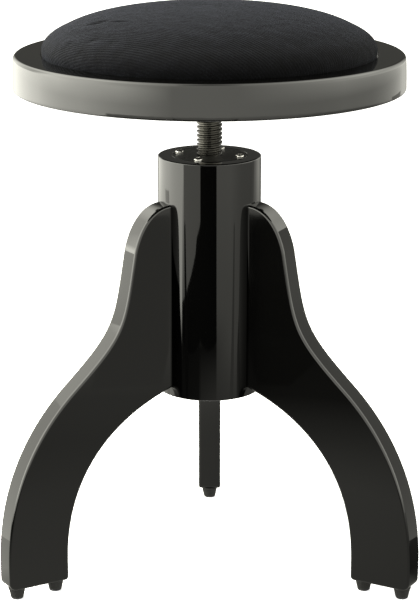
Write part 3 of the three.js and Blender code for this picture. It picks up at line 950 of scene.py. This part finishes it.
class Ribs:
    """A grid on the flat cloth, with rows along the ribs, trimmed to a disc of the given radius.

    Each point has its place on the cloth, its length and turn from the middle, and its height on its rib.
    """

    def __init__(self, limit):
        across_step = RIB_PITCH / RIB_POINTS
        across = np.arange(-math.ceil(limit / across_step), math.ceil(limit / across_step) + 1)
        along = np.arange(-math.ceil(limit / RIB_STEP), math.ceil(limit / RIB_STEP) + 1)
        u, v = np.meshgrid(across, along, indexing="ij")
        flat = np.stack([u * across_step, v * RIB_STEP], axis=-1)
        length = np.linalg.norm(flat, axis=-1)
        inside = length <= limit
        cell = inside[:-1, :-1] & inside[1:, :-1] & inside[:-1, 1:] & inside[1:, 1:]
        used = np.zeros_like(inside)
        for du in (0, 1):
            for dv in (0, 1):
                used[du:du + cell.shape[0], dv:dv + cell.shape[1]] |= cell
        edge = np.zeros_like(inside)
        edge[1:-1, 1:-1] = ~(cell[:-1, :-1] & cell[1:, :-1] & cell[:-1, 1:] & cell[1:, 1:])
        edge &= used
        flat[edge] *= (limit / length[edge])[:, None]
        length[edge] = limit
        number = np.full(inside.shape, -1)
        number[used] = np.arange(used.sum())
        self.limit = limit
        self.flat = flat[used]
        self.length = length[used]
        self.turn = ((np.arctan2(flat[..., 0], flat[..., 1]) + RIB_ANGLE) % (2 * np.pi))[used]
        self.height = np.sin(np.pi * (u[used] % RIB_POINTS) / RIB_POINTS) ** 0.7
        corners = [number[:-1, :-1], number[1:, :-1], number[1:, 1:], number[:-1, 1:]]
        self.faces = np.stack(corners, axis=-1)[cell]


def normals_at(net, along, ribs):
    """The surface's normals at the grid's points, from four points round each."""
    nudge = 0.5 * MM
    side_turn = nudge / np.maximum(ribs.length, MM)
    outer = sample(net, along, np.minimum(ribs.length + nudge, ribs.limit), ribs.turn)
    inner = sample(net, along, np.maximum(ribs.length - nudge, 0), ribs.turn)
    left = sample(net, along, ribs.length, (ribs.turn + side_turn) % (2 * np.pi))
    right = sample(net, along, ribs.length, (ribs.turn - side_turn) % (2 * np.pi))
    normal = np.cross(outer - inner, left - right)
    normal /= np.maximum(np.linalg.norm(normal, axis=1, keepdims=True), 1e-12)
    normal[ribs.length < MM] = (0, 0, 1)
    return normal


def build_pad():
    """The corduroy pad: ribs laid over the simulated net, and a hem turned in under the board."""
    net, along = pad_net()
    net = swollen(net)
    ribs = Ribs(along[-1])
    nap_dent_and_shade = nap_depth(ribs.flat / MM)
    fade = np.clip((ribs.limit - ribs.length) / (6 * MM), 0, 1)
    raised = RIB_HEIGHT * ribs.height * fade - NAP_DENT * nap_dent_and_shade
    points = sample(net, along, ribs.length, ribs.turn) + normals_at(net, along, ribs) * raised[:, None]
    mesh = bpy.data.meshes.new("cushion")
    mesh.from_pydata(points.tolist(), [], ribs.faces.tolist())
    # The rib height also sets where the material paints shade in the grooves.
    mesh.attributes.new("rib", "FLOAT", "POINT").data.foreach_set("value", ribs.height)
    lain = np.concatenate([ribs.flat, np.zeros((len(nap_dent_and_shade), 1))], axis=1)
    mesh.attributes.new("flat", "FLOAT_VECTOR", "POINT").data.foreach_set("vector", lain.ravel())
    # This depth dents the cloth, and the material also paints shade by it.
    mesh.attributes.new("nap_dent_and_shade", "FLOAT", "POINT").data.foreach_set("value", nap_dent_and_shade)
    pad = bpy.data.objects.new("cushion", mesh)
    bpy.context.scene.collection.objects.link(pad)
    close_under(pad)
    pad.data.polygons.foreach_set("use_smooth", [True] * len(pad.data.polygons))
    pad.data.set_sharp_from_angle(angle=math.radians(60))
    settle(pad, "seat", "seat_cloth", corduroy, "cushion_cover", "cushion_foam")


def close_under(pad):
    """Turns the cloth in under the board, and closes the pad with a pocket that the board fills."""
    inner_r = radius_of("cushion_board") + 0.5 * MM
    outer_r = radius_of("cushion_cover") - RIB_HEIGHT - HEM_PULL
    fold = rounded([
        (outer_r, board_low.z + 2 * MM, 0),
        (outer_r, pad_low.z, 1.2 * MM),
        (TURN_IN_R, pad_low.z, 0.4 * MM),
        (TURN_IN_R, pad_low.z + COVER_T, 0),
        (inner_r, pad_low.z + COVER_T, 0),
        (inner_r, board_high.z + GAP, 0),
    ], steps=4)[1:]
    bm = bmesh.new()
    bm.from_mesh(pad.data)
    loop = [e for e in bm.edges if e.is_boundary]
    for r, z in fold:
        made = bmesh.ops.extrude_edge_only(bm, edges=loop)["geom"]
        loop = [e for e in made if isinstance(e, bmesh.types.BMEdge)]
        for vert in {v for e in loop for v in e.verts}:
            out = Vector((vert.co.x, vert.co.y, 0)) - AXIS
            vert.co = AXIS + out.normalized() * r
            vert.co.z = z
        loop = [e for e in loop if e.is_boundary]
    bmesh.ops.holes_fill(bm, edges=loop, sides=0)
    bmesh.ops.recalc_face_normals(bm, faces=bm.faces)
    bm.to_mesh(pad.data)
    bm.free()


# ---------------- the CAD nodes that stay

def dress_kept_nodes():
    """Gives the CAD nodes that aren't replaced a better material."""
    kept = {"cushion_board": plywood}
    for side in LEG_ANGLES:
        for level in ("upper", "lower"):
            kept[f"dowel_{side}_{level}"] = beech
    for name, look in kept.items():
        for holder in bpy.data.objects[name].material_slots:
            holder.material = look


# ---------------- studio

WARM = (1.0, 0.99, 0.89)
FLOOR_HALF = 14
SHEET_Z = 2 * MM
WALL_R = 2.6


def around(azimuth, distance, height):
    """A point round the stool. Azimuth 0 is in front of it, and 90 is on its right."""
    turn = math.radians(azimuth)
    return AXIS + Vector((distance * math.sin(turn), -distance * math.cos(turn), height))


def build_floor():
    """A plain white floor. It doesn't light the stool."""
    bm = bmesh.new()
    bmesh.ops.create_grid(bm, x_segments=1, y_segments=1, size=FLOOR_HALF)
    paint = Look("floor_paint", (0.87, 0.87, 0.86), 0.9)
    paint.set("Specular IOR Level", 0.0)
    paint.set("Emission Color", (1, 1, 1, 1))
    paint.set("Emission Strength", 0.9)
    floor = new_object("floor", bm)
    floor.data.materials.append(paint.material)
    floor.visible_diffuse = False


def softbox(name, at, size, look_at, radiance):
    """An area light of an even radiance, hidden from the camera and from reflections."""
    data = bpy.data.lights.new(name, "AREA")
    data.shape = "RECTANGLE"
    data.size, data.size_y = size
    data.energy = radiance * math.pi * size[0] * size[1]
    data.color = WARM
    lamp = bpy.data.objects.new(name, data)
    lamp.location = at
    lamp.rotation_euler = (Vector(look_at) - Vector(at)).to_track_quat("-Z", "Y").to_euler()
    lamp.visible_camera = False
    lamp.visible_glossy = False
    bpy.context.scene.collection.objects.link(lamp)


def build_lights():
    """Soft light from above and behind, and from the left, with a little from the right and the front."""
    softbox("ceiling", (-0.6, 5.0, 2.6), (3.6, 4.0), (-0.6, 5.0, 0), 4.6)
    softbox("left_box", around(-107, 1.0, 0.8), (1.45, 1.6), around(0, 0, 0.8), 15.0)
    softbox("right_box", around(82, 1.3, 0.88), (1.6, 1.44), around(0, 0, 0.88), 0.9)
    softbox("front_box", around(0, 2.6, 1.3), (2.4, 1.0), around(0, 0, 0.5), 0.15)


def light_world():
    """A white backdrop for the camera, which is nearly dark for everything else."""
    world = bpy.data.worlds.new("studio")
    world.use_nodes = True
    tree = world.node_tree
    backdrop = tree.nodes["Background"]
    path = tree.nodes.new("ShaderNodeLightPath")
    level = tree.nodes.new("ShaderNodeMapRange")
    level.inputs["To Min"].default_value = 0.05
    level.inputs["To Max"].default_value = 1.0
    tree.links.new(path.outputs["Is Camera Ray"], level.inputs["Value"])
    tree.links.new(level.outputs["Result"], backdrop.inputs["Strength"])
    backdrop.inputs["Color"].default_value = (1, 1, 1, 1)
    bpy.context.scene.world = world


# ---------------- what the lacquer mirrors

# The surround's brightness at some azimuths. Its left is bright, its right is soft, and its back is dark.
FAR_LEVELS = {
    -165: 0.1, -150: 2.5, -100: 5, -60: 5, -58: 1.3, 47: 1.3, 73: 0.9, 104: 0.6, 137: 1.2, 160: 0.1,
}
LOW_LEVELS = {
    -175: 0.1, -150: 2.8, -113: 5.6, -75: 5.8, -20: 2.3, 80: 2, 104: 1.5, 147: 1.4, 175: 0.1,
}
WALL_LEVELS = {
    -175: 0.1, -150: 3, -93: 9, -50: 6.5, -20: 2.3, 16: 2.2, 80: 4, 144: 2, 175: 0.1,
}
UPPER_LEVELS = {
    -165: 0.1, -150: 2.5, -120: 3, -105: 8, -70: 8, -20: 2.4, 16: 2.2, 80: 4.5, 104: 3.8, 144: 1.5,
    160: 0.1,
}
DOME_LEVELS = {
    -180: 0.3, -142: 4.5, -110: 8, -75: 7, -20: 2.4, 16: 2.2, 115: 5, 145: 2.5, 180: 0.3,
}
# Rings of soft light round the stool, from its middle up to the dome: distance, height, and brightness.
SURROUND = (
    (0.04, SHEET_Z, {0: 0.6}),
    (0.25, SHEET_Z, {-180: 0.6, -120: 1.6, -75: 1.4, -60: 0.65, 60: 0.5, 72: 0.05, 120: 0.05, 180: 0.6}),
    (0.38, SHEET_Z, {-180: 0.6, -120: 1.8, -80: 1.4, -60: 0.3, 60: 0.5, 72: 0.1, 120: 0.1, 180: 0.6}),
    (0.52, SHEET_Z, {-165: 0.3, -120: 2, -80: 1.2, -62: 0.08, -24: 0.1, -18: 0.35, 12: 0.5, 80: 0.5,
                     165: 0.3}),
    (0.78, SHEET_Z, {-165: 0.3, -120: 2, -80: 1.2, -62: 0.05, 14: 0.07, 17: 0.63, 46: 0.9, 104: 0.5,
                     165: 0.2}),
    (0.98, SHEET_Z, {-165: 0.2, -120: 2, -92: 4, -64: 5, -62: 1.3, 16: 1, 47: 1, 104: 0.5, 165: 0.1}),
    (1.8, SHEET_Z, FAR_LEVELS),
    (WALL_R, SHEET_Z, FAR_LEVELS),
    (WALL_R, 5 * MM, LOW_LEVELS),
    (WALL_R, 0.12, LOW_LEVELS),
    (WALL_R, 0.3, WALL_LEVELS),
    (WALL_R, 0.45, UPPER_LEVELS),
    (WALL_R, 1.5, UPPER_LEVELS),
    (2.4, 2.2, DOME_LEVELS),
    (1.6, 3.0, DOME_LEVELS),
    (0.5, 3.4, {0: 2.5}),
)
# The corners of the cards on the floor: azimuth and distance.
FRONT_FLAG = (
    (-20, 2.5), (-20, 1.47), (-28, 1.37), (-31, 1.26), (-38, 1.17), (-47, 1.08),
    (-63, 0.98), (-63, 0.8), (-20, 0.8), (15.5, 0.8), (15.5, 2.5),
)
RIGHT_FACE_CARD = ((-49, 0.55), (-47, 0.7), (-54.5, 1.45), (-57.5, 1.45), (-55, 0.7), (-53, 0.55))
LEFT_FACE_CARD = ((44, 0.55), (48, 0.7), (55, 1.45), (57.5, 1.45), (55, 0.7), (53, 0.55))
EDGE_CARD_R = 0.35
EDGE_CARD_AT = 86  # the azimuth of its foot
EDGE_CARD_TURN = 60  # degrees that it turns back in a metre of height
EDGE_CARD_HALF = 7  # half its width in degrees


def mirrored_look(name):
    """A light whose strength is painted on its points."""
    look = Look(name, (0, 0, 0), 1.0)
    look.set("Specular IOR Level", 0.0)
    look.set("Emission Color", (*WARM, 1))
    look.link("Emission Strength", look.node("Attribute", {}, attribute_name="glow").outputs["Fac"])
    return look.material


def only_mirrored(name, bm):
    """Finishes a stage piece that nothing but a reflection sees."""
    piece = new_object(name, bm)
    piece.data.materials.append(mirrored_look(name))
    piece.visible_camera = False
    piece.visible_diffuse = False
    piece.visible_shadow = False


def build_surround():
    """A sheet of light on the floor that turns up into a wall and closes in a dome."""
    bm = bmesh.new()
    glow = bm.verts.layers.float.new("glow")
    azimuths = range(-180, 180)
    rings = []
    for distance, height, levels in SURROUND:
        stops = sorted(levels)
        ring = [bm.verts.new(around(azimuth, distance, height)) for azimuth in azimuths]
        for azimuth, vert in zip(azimuths, ring):
            vert[glow] = float(np.interp(azimuth, stops, [levels[stop] for stop in stops]))
        rings.append(ring)
    for near, far in zip(rings, rings[1:]):
        for k in range(len(azimuths)):
            bm.faces.new((near[k - 1], near[k], far[k], far[k - 1]))
    only_mirrored("surround", bm)


def card(name, level, corners):
    """An even card, by the azimuth, distance and height of its corners."""
    bm = bmesh.new()
    glow = bm.verts.layers.float.new("glow")
    verts = [bm.verts.new(around(*corner)) for corner in corners]
    for vert in verts:
        vert[glow] = level
    bm.faces.new(verts)
    only_mirrored(name, bm)


def floor_card(name, level, corners):
    """A card just over the sheet, by the azimuth and distance of its corners."""
    card(name, level, [(azimuth, distance, 2 * SHEET_Z) for azimuth, distance in corners])


def edge_card(name, level, side, top):
    """A narrow card for a front leg's outer edge, turned back as it rises. The side is -1 or 1."""
    foot = EDGE_CARD_AT
    head = EDGE_CARD_AT + EDGE_CARD_TURN * top
    half = EDGE_CARD_HALF
    corners = ((foot - half, SHEET_Z), (foot + half, SHEET_Z), (head + half, top), (head - half, top))
    card(name, level, [(side * azimuth, EDGE_CARD_R, height) for azimuth, height in corners])


def build_cards():
    """A dark flag in front of the stool, and cards for the front legs' broad faces and outer edges."""
    floor_card("front_flag", 0.03, FRONT_FLAG)
    floor_card("right_face_card", 0.05, RIGHT_FACE_CARD)
    floor_card("left_face_card", 0.51, LEFT_FACE_CARD)
    edge_card("left_edge_card", 2.3, -1, 0.29)
    edge_card("right_edge_card", 0.55, 1, 0.41)


# ---------------- the stool

build_seat()
build_plate()
build_spindle()
build_nut()
build_collar()
build_washer()
build_screws()
build_hub()
for side in LEG_ANGLES:
    build_leg(side)
    for spot in SPOTS:
        build_foot(side, spot)
build_pad()
dress_kept_nodes()
build_floor()
light_world()
build_lights()
build_surround()
build_cards()
